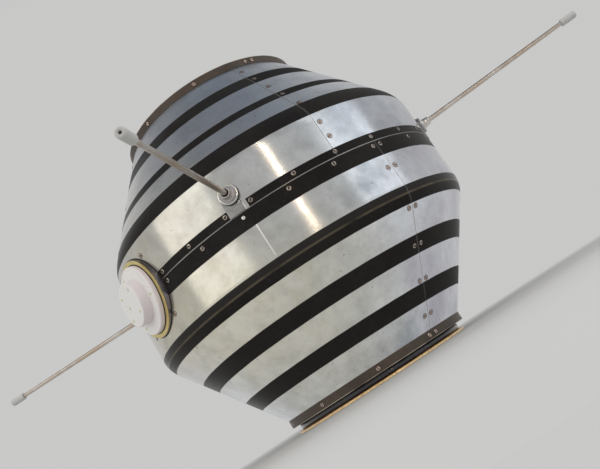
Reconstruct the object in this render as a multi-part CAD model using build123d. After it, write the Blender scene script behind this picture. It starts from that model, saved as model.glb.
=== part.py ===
from build123d import *
import math
import os

# Driving dimensions in millimetres, origin at the middle of the base ring's underside, +Z up,
# the white port facing -Y
BELT_RADIUS = 276.5
CONE_SLOPE = 0.722
MIDDLE_HEIGHT = 271.5
RIM_RADIUS = 158.5
RIM_BOTTOM = 13.2
RIM_HEIGHT = 13.0
SHELL_THICKNESS = 2.5
CORNER_RADIUS = 50.0
JOINT_LINE_ABOVE_MIDDLE = 6.0
JOINT_LINE_WIDTH = 1.2
LOWER_PANELS = 2
LOWER_SEAM_AZIMUTH = 0.0
UPPER_PANELS = 4
UPPER_SEAM_AZIMUTH = -13.6
SEAM_WIDTH = 0.8

# Base ring, neck and end plate
RING_OUTER_RADIUS = 152.0
RING_WIDTH = 18.0
RING_HUB_WIDTH = 8.0
RING_FLANGE_THICKNESS = 4.0
RING_HUB_HEIGHT = 6.5
NECK_SETBACK = 5.0
PLATE_HEIGHT = 16.5
PLATE_THICKNESS = 3.0
PLATE_LIP_RADIUS = 1.0
HOLE_RADIUS = 27.0
HOLE_DEPTH = 30.0
HOLE_CUP_WALL = 2.0

# Two umbilical connectors, opposite each other under the end plate
CONNECTOR_CIRCLE_RADIUS = 83.0
CONNECTOR_AZIMUTH = 68.4
CONNECTOR_TURN = -12.0
CONNECTOR_BODY_RADIUS = 22.0
CONNECTOR_EAR_RADIUS = 8.0
CONNECTOR_EAR_OFFSET = 20.0
CONNECTOR_FLANGE_THICKNESS = 2.5
BARREL_RADIUS = 12.0
BARREL_LENGTH = 9.5
BARREL_WALL = 1.6
BARREL_DEPTH = 7.0
BARREL_LIP = 0.8
BARREL_LIP_LENGTH = 2.0

# Small things on the end plate
STUB_CIRCLE_RADIUS = 71.0
STUB_AZIMUTH = -73.0
STUB_SIDE = 10.0
STUB_LENGTH = 6.0
PLUG_CIRCLE_RADIUS = 109.0
PLUG_AZIMUTH = 149.5
PLUG_RADIUS = 7.5
PLUG_THICKNESS = 1.2

# Four rod antennas, one between each pair of panel seams
ANTENNAS_AROUND = 4
ANTENNA_FIRST_AZIMUTH = 45.0
ANTENNA_ABOVE_JOINT_LINE = 28.5
ANTENNA_TILT = 1.5
BRACKET_END_RADIUS = 15.0
BRACKET_WIDTH = 24.0
BRACKET_THICKNESS = 1.6
SOCKET_RADIUS = 13.5
SOCKET_HEIGHT = 4.5
CUP_BASE_RADIUS = 9.0
CUP_TOP_RADIUS = 6.5
CUP_LENGTH = 13.0
CUP_BORE_DEPTH = 9.0
ROD_BASE_RADIUS = 4.0
ROD_TIP_RADIUS = 3.3
ROD_REACH = 273.5
TIP_RADIUS = 6.0
TIP_LENGTH = 26.0
TIP_ROUNDING = 2.4

# White disc port on the belt, centred on the joint line, halfway between two antennas
PORT_AZIMUTH = -90.0
PORT_RING_RADIUS = 60.0
PORT_RING_STAND = 1.5
PORT_RING_GRIP = 5.0
PORT_WASHER_RADIUS = 59.0
PORT_WASHER_THICKNESS = 1.6
LARGE_DISC_RADIUS = 52.0
LARGE_DISC_THICKNESS = 7.5
SMALL_DISC_RADIUS = 33.5
SMALL_DISC_THICKNESS = 15.0
DISC_ROUNDING = 2.4

# Top end, out of sight in the photo, closed with a plain cap inside the rim
CAP_RISE = 10.0
CAP_ROUNDING = 4.0

# Extra length of every block that only cuts another shape
CUT_CLEARANCE = 20.0

# Worked-out radii and heights
RING_INNER_RADIUS = RING_OUTER_RADIUS - RING_WIDTH
RING_HUB_RADIUS = RING_INNER_RADIUS + RING_HUB_WIDTH
NECK_RADIUS = RING_OUTER_RADIUS - NECK_SETBACK
CAP_RADIUS = NECK_RADIUS
SHELL_BOTTOM = RIM_BOTTOM + RIM_HEIGHT
SHELL_TOP = 2 * MIDDLE_HEIGHT - SHELL_BOTTOM
LOWER_CORNER = SHELL_BOTTOM + (BELT_RADIUS - RIM_RADIUS) / CONE_SLOPE
UPPER_CORNER = 2 * MIDDLE_HEIGHT - LOWER_CORNER
CORNER_TURN = math.atan(CONE_SLOPE)
CORNER_SETBACK = CORNER_RADIUS * math.tan(CORNER_TURN / 2)
JOINT_LINE_HEIGHT = MIDDLE_HEIGHT + JOINT_LINE_ABOVE_MIDDLE
ANTENNA_HEIGHT = JOINT_LINE_HEIGHT + ANTENNA_ABOVE_JOINT_LINE

os.makedirs("parts", exist_ok=True)


def save(name, shape):
    shape.label = name
    export_step(shape, f"parts/{name}.step")


def ring_of(points):
    """A solid of revolution about Z from a closed outline of radius and height points."""
    outline = make_face(Plane.XZ * Polyline(*points, close=True))
    return revolve(outline, Axis.Z)


def tube(inner, outer, bottom, top):
    return ring_of([(inner, bottom), (outer, bottom), (outer, top), (inner, top)])


def shell_profile(offset):
    """Half of the body's outline from bottom to top, moved level towards the axis by the offset."""
    belt = BELT_RADIUS - offset
    rim = RIM_RADIUS - offset
    run = CORNER_SETBACK * math.cos(CORNER_TURN)
    drop = CORNER_SETBACK * math.sin(CORNER_TURN)
    low_start = (rim, 0, SHELL_BOTTOM)
    low_bend = (belt - drop, 0, LOWER_CORNER - run)
    low_belt = (belt, 0, LOWER_CORNER + CORNER_SETBACK)
    high_belt = (belt, 0, UPPER_CORNER - CORNER_SETBACK)
    high_bend = (belt - drop, 0, UPPER_CORNER + run)
    high_end = (rim, 0, SHELL_TOP)
    sag = CORNER_RADIUS * (1 - math.cos(CORNER_TURN / 2))
    outward = Vector(math.cos(CORNER_TURN / 2), 0, -math.sin(CORNER_TURN / 2))
    low_middle = (Vector(low_bend) + Vector(low_belt)) / 2 + outward * sag
    high_middle = Vector(low_middle.X, 0, 2 * MIDDLE_HEIGHT - low_middle.Z)
    return [
        Line(low_start, low_bend),
        ThreePointArc(low_bend, low_middle, low_belt),
        Line(low_belt, high_belt),
        ThreePointArc(high_belt, high_middle, high_bend),
        Line(high_bend, high_end),
    ]


def body_solid(offset):
    edges = shell_profile(offset)
    rim = RIM_RADIUS - offset
    edges.append(Line((rim, 0, SHELL_TOP), (0, 0, SHELL_TOP)))
    edges.append(Line((0, 0, SHELL_TOP), (0, 0, SHELL_BOTTOM)))
    edges.append(Line((0, 0, SHELL_BOTTOM), (rim, 0, SHELL_BOTTOM)))
    return revolve(make_face(Wire(edges)), Axis.Z)


def slab(bottom, top):
    size = 2 * BELT_RADIUS + CUT_CLEARANCE
    return Pos(0, 0, (bottom + top) / 2) * Box(size, size, top - bottom)


def around(azimuth):
    return Rot(0, 0, azimuth)


def turn_from(azimuth, shape):
    """How far round the middle of a shape lies from an azimuth, in degrees."""
    centre = shape.center()
    return (math.degrees(math.atan2(centre.Y, centre.X)) - azimuth) % 360


# Shell: two lower and four upper panels, with an open seam between neighbours
def make_panels():
    shell = body_solid(0) - body_solid(SHELL_THICKNESS)
    half_gap = JOINT_LINE_WIDTH / 2
    # Name, bottom, top, number of panels, azimuth of the first seam
    halves = [
        ("lower", SHELL_BOTTOM, JOINT_LINE_HEIGHT - half_gap, LOWER_PANELS, LOWER_SEAM_AZIMUTH),
        ("upper", JOINT_LINE_HEIGHT + half_gap, SHELL_TOP, UPPER_PANELS, UPPER_SEAM_AZIMUTH),
    ]
    reach = BELT_RADIUS + CUT_CLEARANCE
    slot = Pos(reach / 2, 0, MIDDLE_HEIGHT) * Box(reach, SEAM_WIDTH, 2 * MIDDLE_HEIGHT)
    for half, bottom, top, count, first_seam in halves:
        step = 360 / count
        shape = around(first_seam) * (shell & slab(bottom, top))
        for index in range(count):
            shape = shape - around(first_seam + index * step) * slot
        panels = sorted(shape.solids(), key=lambda panel: turn_from(first_seam, panel))
        for index, panel in enumerate(panels):
            save(f"{half}_panel_{index + 1}", panel)


# Joint ring: thin bright edge between the two halves
def make_joint_ring():
    half = JOINT_LINE_WIDTH / 2
    inner = BELT_RADIUS - SHELL_THICKNESS
    save("joint_ring", tube(inner, BELT_RADIUS, JOINT_LINE_HEIGHT - half, JOINT_LINE_HEIGHT + half))


# Rim bands: screwed rings that hold the panel ends
def make_rims():
    save("lower_rim_band", tube(NECK_RADIUS, RIM_RADIUS, RIM_BOTTOM, SHELL_BOTTOM))
    save("upper_rim_band", tube(CAP_RADIUS, RIM_RADIUS, SHELL_TOP, SHELL_TOP + RIM_HEIGHT))


# Base: separation ring, neck, end plate with its hole and cup
def make_base():
    save("separation_ring", ring_of([
        (RING_INNER_RADIUS, 0),
        (RING_OUTER_RADIUS, 0),
        (RING_OUTER_RADIUS, RING_FLANGE_THICKNESS),
        (RING_HUB_RADIUS, RING_FLANGE_THICKNESS),
        (RING_HUB_RADIUS, RING_HUB_HEIGHT),
        (RING_INNER_RADIUS, RING_HUB_HEIGHT),
    ]))
    save("neck_ring", ring_of([
        (RING_INNER_RADIUS, RING_HUB_HEIGHT),
        (RING_HUB_RADIUS, RING_HUB_HEIGHT),
        (RING_HUB_RADIUS, RING_FLANGE_THICKNESS),
        (NECK_RADIUS, RING_FLANGE_THICKNESS),
        (NECK_RADIUS, SHELL_BOTTOM),
        (RING_INNER_RADIUS, SHELL_BOTTOM),
    ]))
    plate = tube(HOLE_RADIUS, RING_INNER_RADIUS, PLATE_HEIGHT, PLATE_HEIGHT + PLATE_THICKNESS)
    lip = plate.edges().filter_by(GeomType.CIRCLE).group_by(Axis.Z)[0].sort_by(SortBy.RADIUS)[0]
    save("end_plate", fillet(lip, PLATE_LIP_RADIUS))
    top = PLATE_HEIGHT + PLATE_THICKNESS
    outer = HOLE_RADIUS + HOLE_CUP_WALL
    save("hole_cup", ring_of([
        (HOLE_RADIUS, top),
        (outer, top),
        (outer, top + HOLE_DEPTH),
        (0, top + HOLE_DEPTH),
        (0, top + HOLE_DEPTH - HOLE_CUP_WALL),
        (HOLE_RADIUS, top + HOLE_DEPTH - HOLE_CUP_WALL),
    ]))


# Connectors: two-ear flange and open barrel, under the end plate
def make_connectors():
    face = PLATE_HEIGHT - CONNECTOR_FLANGE_THICKNESS
    outline = Circle(CONNECTOR_BODY_RADIUS)
    for side in (-1, 1):
        ear = Pos(side * CONNECTOR_EAR_OFFSET, 0) * Circle(CONNECTOR_EAR_RADIUS)
        outline = outline + ear
    flange = Pos(0, 0, face) * extrude(outline, CONNECTOR_FLANGE_THICKNESS)
    bottom = face - BARREL_LENGTH
    bore = BARREL_RADIUS - BARREL_WALL
    lip = BARREL_RADIUS + BARREL_LIP
    barrel = ring_of([
        (0, face),
        (BARREL_RADIUS, face),
        (BARREL_RADIUS, bottom + BARREL_LIP_LENGTH),
        (lip, bottom + BARREL_LIP_LENGTH),
        (lip, bottom),
        (bore, bottom),
        (bore, bottom + BARREL_DEPTH),
        (0, bottom + BARREL_DEPTH),
    ])
    for index in range(2):
        place = around(CONNECTOR_AZIMUTH + 180 * index) * Pos(CONNECTOR_CIRCLE_RADIUS, 0, 0)
        save(f"connector_flange_{index + 1}", place * Rot(0, 0, CONNECTOR_TURN) * flange)
        save(f"connector_barrel_{index + 1}", place * barrel)


# Cable stub and round plug on the end plate
def make_plate_fittings():
    stub = Pos(STUB_CIRCLE_RADIUS, 0, PLATE_HEIGHT - STUB_LENGTH / 2)
    save("cable_stub", around(STUB_AZIMUTH) * stub * Box(STUB_SIDE, STUB_SIDE, STUB_LENGTH))
    plug = Pos(PLUG_CIRCLE_RADIUS, 0, PLATE_HEIGHT - PLUG_THICKNESS / 2)
    save("base_plug", around(PLUG_AZIMUTH) * plug * Cylinder(PLUG_RADIUS, PLUG_THICKNESS))


# Antennas: curved bracket plate, socket disc, tapered cup, tapered rod and tip cap
def make_antennas():
    outside = BELT_RADIUS + BRACKET_THICKNESS
    bracket_bottom = JOINT_LINE_HEIGHT + JOINT_LINE_WIDTH / 2
    straight = ANTENNA_HEIGHT - bracket_bottom
    middle = BRACKET_WIDTH / 2 - BRACKET_END_RADIUS
    outline = Pos(middle, bracket_bottom + straight / 2) * Rectangle(BRACKET_WIDTH, straight)
    outline = outline + Pos(0, ANTENNA_HEIGHT) * Circle(BRACKET_END_RADIUS)
    block = extrude(Plane.YZ * outline, outside + CUT_CLEARANCE)
    sleeve = tube(BELT_RADIUS, outside, bracket_bottom, ANTENNA_HEIGHT + BRACKET_END_RADIUS)
    bracket = sleeve & block

    origin = Pos(BELT_RADIUS, 0, ANTENNA_HEIGHT) * Rot(0, 90 - ANTENNA_TILT, 0)
    cup_start = BRACKET_THICKNESS + SOCKET_HEIGHT
    cup_end = cup_start + CUP_LENGTH
    rod_start = cup_end - CUP_BORE_DEPTH
    rod_end = ROD_REACH
    inside = Pos(0, 0, ANTENNA_HEIGHT) * Cylinder(outside, 2 * BRACKET_END_RADIUS + CUT_CLEARANCE)
    socket = origin * Pos(0, 0, cup_start / 2) * Cylinder(SOCKET_RADIUS, cup_start) - inside
    cup = ring_of([
        (0, cup_start),
        (CUP_BASE_RADIUS, cup_start),
        (CUP_TOP_RADIUS, cup_end),
        (ROD_BASE_RADIUS, cup_end),
        (ROD_BASE_RADIUS, rod_start),
        (0, rod_start),
    ])
    rod = ring_of([
        (0, rod_start),
        (ROD_BASE_RADIUS, rod_start),
        (ROD_BASE_RADIUS, cup_end),
        (ROD_TIP_RADIUS, rod_end),
        (0, rod_end),
    ])
    tip = Pos(0, 0, rod_end + TIP_LENGTH / 2) * Cylinder(TIP_RADIUS, TIP_LENGTH)
    tip = fillet(tip.edges().group_by(Axis.Z)[-1], TIP_ROUNDING)
    pieces = {
        "bracket": bracket,
        "socket": socket,
        "cup": origin * cup,
        "rod": origin * rod,
        "tip": origin * tip,
    }
    step = 360 / ANTENNAS_AROUND
    for index in range(ANTENNAS_AROUND):
        turn = around(ANTENNA_FIRST_AZIMUTH + index * step)
        for piece, shape in pieces.items():
            save(f"antenna_{piece}_{index + 1}", turn * shape)


# Port: metal ring shaped to the belt, gold washer and two white discs
def make_port():
    origin = around(PORT_AZIMUTH) * Pos(0, 0, JOINT_LINE_HEIGHT) * Rot(0, 90, 0)
    belt = Pos(0, 0, JOINT_LINE_HEIGHT) * Cylinder(BELT_RADIUS, 2 * PORT_RING_RADIUS + CUT_CLEARANCE)
    front = BELT_RADIUS + PORT_RING_STAND
    back = math.sqrt(BELT_RADIUS**2 - PORT_RING_RADIUS**2) - PORT_RING_GRIP
    height = front - back
    middle = (front + back) / 2
    ring = origin * Pos(0, 0, middle) * Cylinder(PORT_RING_RADIUS, height)
    save("port_ring", ring - belt)
    stack = [
        ("port_washer", PORT_WASHER_RADIUS, PORT_WASHER_THICKNESS, 0),
        ("port_disc_large", LARGE_DISC_RADIUS, LARGE_DISC_THICKNESS, DISC_ROUNDING),
        ("port_disc_small", SMALL_DISC_RADIUS, SMALL_DISC_THICKNESS, DISC_ROUNDING),
    ]
    face = front
    for name, radius, thickness, rounding in stack:
        disc = Pos(0, 0, face + thickness / 2) * Cylinder(radius, thickness)
        if rounding:
            disc = fillet(disc.edges().group_by(Axis.Z)[-1], rounding)
        save(name, origin * disc)
        face = face + thickness


# Top cap inside the upper rim
def make_cap():
    top = SHELL_TOP + CAP_RISE
    cap = Pos(0, 0, (SHELL_TOP + top) / 2) * Cylinder(CAP_RADIUS, CAP_RISE)
    save("top_cap", fillet(cap.edges().group_by(Axis.Z)[-1], CAP_ROUNDING))


make_panels()
make_joint_ring()
make_rims()
make_base()
make_connectors()
make_plate_fittings()
make_antennas()
make_port()
make_cap()
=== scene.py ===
import math

import bpy
from mathutils import Matrix, Vector


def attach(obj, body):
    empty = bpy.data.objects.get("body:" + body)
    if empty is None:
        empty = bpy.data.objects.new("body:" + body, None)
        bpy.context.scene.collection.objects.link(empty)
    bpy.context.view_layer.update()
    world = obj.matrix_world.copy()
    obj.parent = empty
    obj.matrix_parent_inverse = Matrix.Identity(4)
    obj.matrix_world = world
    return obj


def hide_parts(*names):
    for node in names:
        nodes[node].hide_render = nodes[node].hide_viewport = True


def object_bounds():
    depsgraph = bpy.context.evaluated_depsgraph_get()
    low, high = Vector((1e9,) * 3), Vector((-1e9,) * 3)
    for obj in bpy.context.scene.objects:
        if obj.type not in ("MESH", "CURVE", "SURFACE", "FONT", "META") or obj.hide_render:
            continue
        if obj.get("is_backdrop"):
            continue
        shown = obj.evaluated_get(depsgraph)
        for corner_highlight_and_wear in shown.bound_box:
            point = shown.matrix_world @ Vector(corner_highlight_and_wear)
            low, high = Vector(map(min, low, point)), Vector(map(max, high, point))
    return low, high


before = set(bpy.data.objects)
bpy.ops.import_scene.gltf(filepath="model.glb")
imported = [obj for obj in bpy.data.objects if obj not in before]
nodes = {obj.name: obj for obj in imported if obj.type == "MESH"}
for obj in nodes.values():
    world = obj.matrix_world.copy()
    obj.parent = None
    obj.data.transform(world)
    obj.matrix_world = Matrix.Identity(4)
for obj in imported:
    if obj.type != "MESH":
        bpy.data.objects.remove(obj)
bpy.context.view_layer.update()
bpy.ops.object.select_all(action="DESELECT")


# Base ring: the gold alloy ring that the satellite stands on and parts from its carrier at. Turned,
# with a hub inside its flange; the clamp that held it has bitten small marks into its faces.
RING_OUTLINE = (
    (134.0, 0.4), (134.6, 0.0), (140.0, 0.0), (140.4, 0.25), (140.8, 0.0), (151.2, 0.0), (152.0, 0.8),
    (152.0, 3.2), (151.2, 4.0), (142.0, 4.0), (142.0, 6.5), (134.6, 6.5), (134.0, 5.9),
)
RING_SIDES = 300
BITE_SIZE = 0.0045
BITE_DEPTH = 0.0007
RING_BRIGHT = (0.84, 0.56, 0.26)
RING_COPPER = (0.62, 0.33, 0.13)
RING_BITTEN = (0.20, 0.10, 0.045)
RING_WORN = (0.95, 0.74, 0.42)
RING_EDGE = 0.1508


def traced(name, points):
    """A wire drawn from point to point, left in edit mode with all of it selected."""
    bpy.ops.mesh.primitive_plane_add(size=0.001, location=(0, 0, 0))
    piece = bpy.context.object
    piece.name = name
    bpy.ops.object.mode_set(mode="EDIT")
    bpy.ops.mesh.select_mode(type="VERT")
    bpy.ops.mesh.merge(type="CENTER")
    bpy.ops.transform.translate(value=points[0])
    for point, following in zip(points, points[1:]):
        step = [after - before for before, after in zip(point, following)]
        bpy.ops.mesh.extrude_region_move(TRANSFORM_OT_translate={"value": step})
    bpy.ops.mesh.select_all(action="SELECT")
    return piece


def turned(name, outline, sides):
    """A piece turned round Z from the radius and height points of its outline, in millimetres."""
    points = [(radius / 1000, 0, height / 1000) for radius, height in outline]
    if points[0][0] > 0 or points[-1][0] > 0:
        points.append(points[0])
    piece = traced(name, points)
    bpy.ops.mesh.spin(steps=sides, angle=2 * math.pi, center=(0, 0, 0), axis=(0, 0, 1))
    bpy.ops.mesh.select_all(action="SELECT")
    bpy.ops.mesh.remove_doubles(threshold=0.000001)
    bpy.ops.mesh.normals_make_consistent(inside=False)
    bpy.ops.object.mode_set(mode="OBJECT")
    return piece


def modified(piece, kind, **settings):
    """Adds one modifier to a piece and applies it."""
    modifier = piece.modifiers.new(kind.lower(), kind)
    for key, setting in settings.items():
        setattr(modifier, key, setting)
    bpy.context.view_layer.objects.active = piece
    bpy.ops.object.modifier_apply(modifier=modifier.name)
    return piece


def picked(piece):
    """Makes a piece the active one and the only one selected."""
    bpy.ops.object.select_all(action="DESELECT")
    piece.select_set(True)
    bpy.context.view_layer.objects.active = piece


def smoothed(piece, degrees=35):
    """Shades a piece smooth, apart from edges that turn by more than an angle."""
    picked(piece)
    bpy.ops.object.shade_smooth_by_angle(angle=math.radians(degrees))
    piece.select_set(False)
    return piece


def wear(piece, *materials):
    """Puts a finish, or one for each of its slots, on a piece or a CAD node."""
    piece.data.materials.clear()
    for material in materials:
        piece.data.materials.append(material)


class Value:
    """A socket of a finish, which adds Math nodes where it is used in an expression."""

    def __init__(self, finish, socket):
        self.finish = finish
        self.socket = socket

    def math(self, operation, *others, clamp=False):
        values = dict(enumerate((self, *others)))
        return self.finish.add("Math", values, operation=operation, use_clamp=clamp)

    def __add__(self, other):
        return self.math("ADD", other)

    __radd__ = __add__

    def __sub__(self, other):
        return self.math("SUBTRACT", other)

    def __rsub__(self, other):
        return self.finish.add("Math", {0: other, 1: self}, operation="SUBTRACT")

    def __mul__(self, other):
        return self.math("MULTIPLY", other)

    __rmul__ = __mul__

    def __truediv__(self, other):
        return self.math("DIVIDE", other)

    def above(self, level, soft):
        """1 where the value is over a level and 0 where it is under, with an edge as wide as soft."""
        return ((self - level) / soft).math("ADD", 0.5, clamp=True)

    def between(self, low, high, soft):
        return self.above(low, soft) * (1 - self.above(high, soft))


class Finish:
    """One procedural material, or the background of a world, whose nodes all come from add()."""

    def __init__(self, name, world=None):
        self.material = world or bpy.data.materials.new(name)
        self.material.use_nodes = True
        self.tree = self.material.node_tree
        self.shader = self.tree.nodes.get("Principled BSDF")
        self.place = self.add("TexCoord", {}, "Generated" if world else "Object")

    def add(self, kind, values, *outputs, **settings):
        """A shader node of a kind, with its sockets filled. Gives its first or its named outputs."""
        node = self.tree.nodes.new("ShaderNode" + kind)
        for key, setting in settings.items():
            setattr(node, key, setting)
        for key, value in values.items():
            self.put(node.inputs[key], value)
        found = [Value(self, node.outputs[output]) for output in outputs or (0,)]
        return found[0] if len(found) == 1 else found

    def put(self, target, value):
        """Links a value to a socket, or writes a plain number or colour on it."""
        if isinstance(value, Value):
            self.tree.links.new(value.socket, target)
        elif isinstance(value, tuple) and len(target.default_value) == 4:
            target.default_value = (*value, 1)
        else:
            target.default_value = value

    def axes(self):
        return self.add("SeparateXYZ", {"Vector": self.place}, "X", "Y", "Z")

    def from_axis(self):
        """How far the place is from the upright axis."""
        x, y, _ = self.axes()
        return (x * x + y * y).math("SQRT")

    def rays(self):
        return self.add("LightPath", {}, "Is Camera Ray", "Is Glossy Ray")

    def noise(self, scale, detail=4.0, roughness=0.5, swirl=0.0, stretch=None, place=None):
        place = place or self.place
        if stretch:
            place = self.add("Mapping", {"Vector": place, "Scale": stretch})
        values = {"Vector": place, "Scale": scale, "Detail": detail, "Roughness": roughness}
        return self.add("TexNoise", {**values, "Distortion": swirl})

    def mix(self, amount, first, second):
        return self.add("Mix", {0: amount, 6: first, 7: second}, 2, data_type="RGBA")

    def bump(self, height, strength, distance):
        return self.add("Bump", {"Height": height, "Strength": strength, "Distance": distance})

    def dress(self, **sockets):
        for name, value in sockets.items():
            self.put(self.shader.inputs[name.replace("_", " ")], value)
        return self.material


def gold_ring_finish():
    finish = Finish("bitten_gold_alloy")
    speckle = finish.noise(380.0, 6.0, 0.7)
    patch = finish.noise(60.0, 4.0, 0.65)
    bitten = speckle.above(0.55, 0.12)
    edge = finish.from_axis().above(RING_EDGE, 0.0010) * 0.7
    alloy = finish.mix(patch.above(0.5, 0.3), RING_COPPER, RING_BRIGHT)
    worn = finish.mix(edge, alloy, RING_WORN)
    return finish.dress(
        Base_Color=finish.mix(bitten * 0.4, worn, RING_BITTEN),
        Metallic=1.0,
        Roughness=0.24 + bitten * 0.20 + patch * 0.12,
        Normal=finish.bump(speckle, 0.4, 0.0006),
    )


base_ring = turned("base_ring_gold", RING_OUTLINE, RING_SIDES)
modified(base_ring, "SUBSURF", subdivision_type="SIMPLE", levels=1, render_levels=1)
bites = bpy.data.textures.new("clamp_bites", "CLOUDS")
bites.noise_scale = BITE_SIZE
modified(base_ring, "DISPLACE", texture=bites, strength=BITE_DEPTH, mid_level=1.0)
smoothed(base_ring, 40)
wear(base_ring, gold_ring_finish())
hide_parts("separation_ring")
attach(base_ring, "root")


# Neck: the short rounded collar between the base ring and the rim band, painted in a glossy
# blue-black. Its inner wall is the side of the recess, with a step where the ring is pressed on.
NECK_OUTLINE = (
    (134.0, 6.5), (142.0, 6.5), (142.0, 4.0), (144.4, 4.0), (145.6, 4.9), (146.5, 6.4), (147.0, 8.4),
    (147.0, 9.4), (146.6, 11.0), (145.8, 12.4), (144.9, 13.2), (144.9, 26.2), (134.0, 26.2),
    (134.0, 15.4), (135.2, 15.0), (135.2, 12.2), (134.3, 11.6), (134.3, 9.6), (134.0, 9.2),
)


def shaped(name, outline, sides, *materials):
    """A piece that is turned, smoothed and given its finishes."""
    piece = smoothed(turned(name, outline, sides))
    wear(piece, *materials)
    return piece


def coated_finish(name, colour, rough, fleck, coat=0.0):
    """Painted or coated metal with small flecks, rubbed a little paler in patches."""
    finish = Finish(name)
    flecks = finish.noise(260.0, 3.0)
    cloud = finish.noise(20.0, 4.0, 0.6)
    second_tone = flecks.above(0.66, 0.06) * 0.6 + cloud.above(0.55, 0.3) * 0.3
    return finish.dress(
        Base_Color=finish.mix(second_tone, colour, fleck),
        Roughness=rough + cloud * 0.14 + flecks * 0.06,
        Coat_Weight=coat,
        Normal=finish.bump(flecks, 0.12, 0.0003),
    )


neck_paint = coated_finish("glossy_blue_black", (0.010, 0.014, 0.026), 0.10, (0.030, 0.038, 0.060), 0.6)
neck = shaped("neck_blue_black", NECK_OUTLINE, 160, neck_paint)
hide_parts("neck_ring")
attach(neck, "root")


# End plate: bronze-brown disc that closes the recess, pressed with a rolled lip round its middle
# hole and a bead along its edge. Two keyways break the bead, and small rivets hold what is behind.
PLATE_OUTLINE = (
    (27.0, 19.5), (27.0, 17.0), (27.3, 16.0), (28.0, 15.3), (28.9, 15.2), (29.8, 15.6), (30.6, 16.3),
    (31.4, 16.5), (32.0, 16.5), (127.4, 16.5), (128.6, 16.5), (129.4, 16.2), (130.2, 15.5),
    (131.4, 15.1), (132.6, 15.3), (133.5, 15.9), (134.0, 16.8), (134.0, 19.5),
)
PLATE_FACE = 0.0165
PLATE_LIP = (0.0262, 0.0302)
PLATE_BEAD = (0.1296, 0.1332)
KEYWAY_AZIMUTHS = (143, 175)
KEYWAY_SPOT = (0.1315, 0.0155)
KEYWAY_SIZE = (0.007, 0.0045, 0.004)
PLATE_BRONZE = (0.40, 0.25, 0.13)
PLATE_TAN = (0.54, 0.37, 0.22)
PLATE_BRIGHT = (0.92, 0.74, 0.42)
RIVET_OUTLINE = ((0.0, -0.5), (1.7, -0.5), (1.7, 0.1), (1.5, 0.6), (1.0, 0.95), (0.0, 1.1))
RIVET_SPOTS = ((38, 0), (38, 90), (38, 180), (38, 270), (92, 148), (104, 161), (66, 215), (96, 20))


def about_z(degrees):
    return Matrix.Rotation(math.radians(degrees), 4, "Z")


def offset(out, up):
    """A move out from the axis, towards azimuth 0, and up."""
    return Matrix.Translation((out, 0, up))


def placed(piece, place):
    """Moves a piece to its place and leaves its object unturned at the origin."""
    piece.matrix_world = place
    picked(piece)
    bpy.ops.object.transform_apply(location=True, rotation=True, scale=True)
    piece.select_set(False)
    return piece


def repeated(name, model, places):
    """Copies of a model at each place, each with its own mesh, joined as one piece."""
    copies = []
    for place in places:
        copy = model.copy()
        copy.data = model.data.copy()
        bpy.context.collection.objects.link(copy)
        copies.append(placed(copy, place))
    for copy in copies:
        copy.select_set(True)
    bpy.context.view_layer.objects.active = copies[0]
    bpy.ops.object.join()
    piece = bpy.context.object
    piece.name = name
    piece.select_set(False)
    return piece


def block(name, size):
    """A box of a size round the origin."""
    bpy.ops.mesh.primitive_cube_add(size=1)
    piece = bpy.context.object
    piece.name = name
    piece.scale = size
    bpy.ops.object.transform_apply(scale=True)
    return piece


def discard(*models):
    """Removes models and cutters once they have served."""
    for model in models:
        bpy.data.objects.remove(model)


def cut(piece, size, place):
    """Cuts a box of a size, at a place, out of a piece."""
    cutter = placed(block("cutter", size), place)
    modified(piece, "BOOLEAN", object=cutter, operation="DIFFERENCE", solver="EXACT")
    discard(cutter)


def under_plate(radius, azimuth, spin=0.0):
    """A place on the underside of the end plate, facing down, from millimetres and degrees."""
    facing_down = Matrix.Rotation(math.pi, 4, "X")
    return about_z(azimuth) @ offset(radius / 1000, PLATE_FACE) @ facing_down @ about_z(spin)


def end_plate_finish():
    finish = Finish("bronze_end_plate")
    radius = finish.from_axis()
    lip = radius.between(*PLATE_LIP, 0.0006)
    bead = radius.between(*PLATE_BEAD, 0.0006)
    bright = lip + bead * 0.9
    grain = finish.noise(170.0, 4.0, 0.6)
    cloud = finish.noise(24.0, 5.0, 0.6)
    plate = finish.mix(cloud.above(0.5, 0.35), PLATE_BRONZE, PLATE_TAN)
    return finish.dress(
        Base_Color=finish.mix(bright, plate, PLATE_BRIGHT),
        Metallic=0.9,
        Roughness=0.32 + grain * 0.14 - bright * 0.14,
        Normal=finish.bump(grain, 0.14, 0.0003),
    )


def turned_finish(name, colour, rough, tarnish=0.72):
    """Bare turned metal: fine rings left by the lathe and a cloud of tarnish."""
    finish = Finish(name)
    rings = finish.noise(3.0, 2.0, stretch=(2.0, 2.0, 300.0))
    cloud = finish.noise(34.0, 4.0, 0.6)
    dull = tuple(channel * tarnish for channel in colour)
    return finish.dress(
        Base_Color=finish.mix(cloud.above(0.5, 0.4), colour, dull),
        Metallic=1.0,
        Roughness=rough + cloud * 0.12 + rings * 0.05,
        Normal=finish.bump(rings, 0.15, 0.0002),
    )


plate = turned("end_plate_bronze", PLATE_OUTLINE, 160)
for azimuth in KEYWAY_AZIMUTHS:
    cut(plate, KEYWAY_SIZE, about_z(azimuth) @ offset(*KEYWAY_SPOT))
smoothed(plate)
wear(plate, end_plate_finish())
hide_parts("end_plate")
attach(plate, "root")

rivet_metal = turned_finish("rivet_bronze", (0.70, 0.52, 0.30), 0.28)
rivet = shaped("rivet", RIVET_OUTLINE, 16, rivet_metal)
rivets = repeated("plate_rivets", rivet, [under_plate(*spot) for spot in RIVET_SPOTS])
discard(rivet)
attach(rivets, "root")


# Wall behind the middle hole: a plain cup of sheet, coated a dull black and fixed behind the end
# plate, so that the hole has a depth.
wear(nodes["hole_cup"], coated_finish("dark_cup_wall", (0.014, 0.016, 0.015), 0.5, (0.040, 0.042, 0.036)))


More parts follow.
